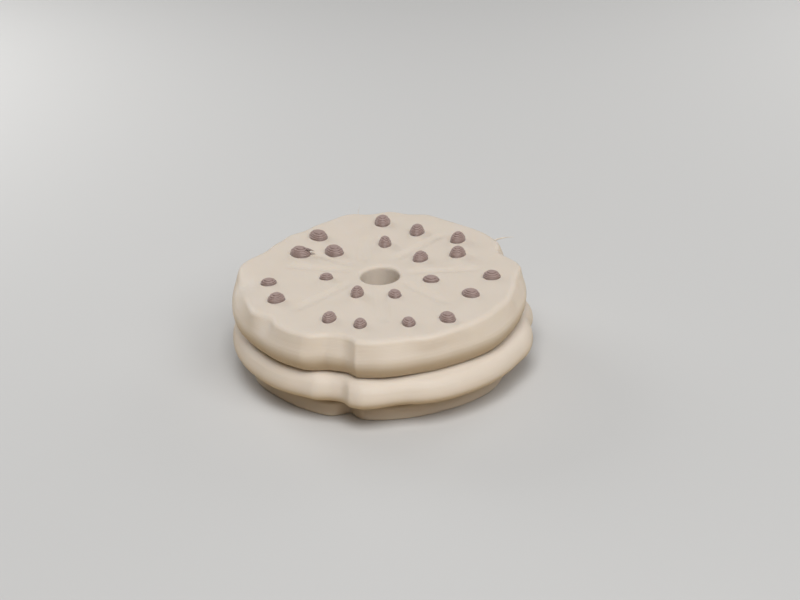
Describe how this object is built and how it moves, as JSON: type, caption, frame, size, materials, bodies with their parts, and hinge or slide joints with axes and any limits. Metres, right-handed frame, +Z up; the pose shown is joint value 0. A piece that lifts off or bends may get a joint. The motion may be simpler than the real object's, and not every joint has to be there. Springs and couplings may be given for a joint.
{
  "type": "toy chocolate chip cookie",
  "caption": "Round plastic toy cookie with wavy stacked tiers, a flat top, small domed chips, shallow radial creases and a hole through the middle.",
  "frame": {"origin": "middle of the underside, below the centre of the bounding box", "axes": "+Z up through the thickness; -Y towards the camera of the picture; the hole's axis is along Z, about 0.2 mm from the origin"},
  "size_m": [0.0458, 0.0462, 0.0155],
  "materials": {
    "cookie_plastic": "matte beige printed plastic with fine layer lines",
    "chip_plastic": "matte grey-brown printed plastic with visible layer steps"
  },
  "bodies": {
    "root": {"cookie": "cookie_plastic"}
  },
  "joints": []
}
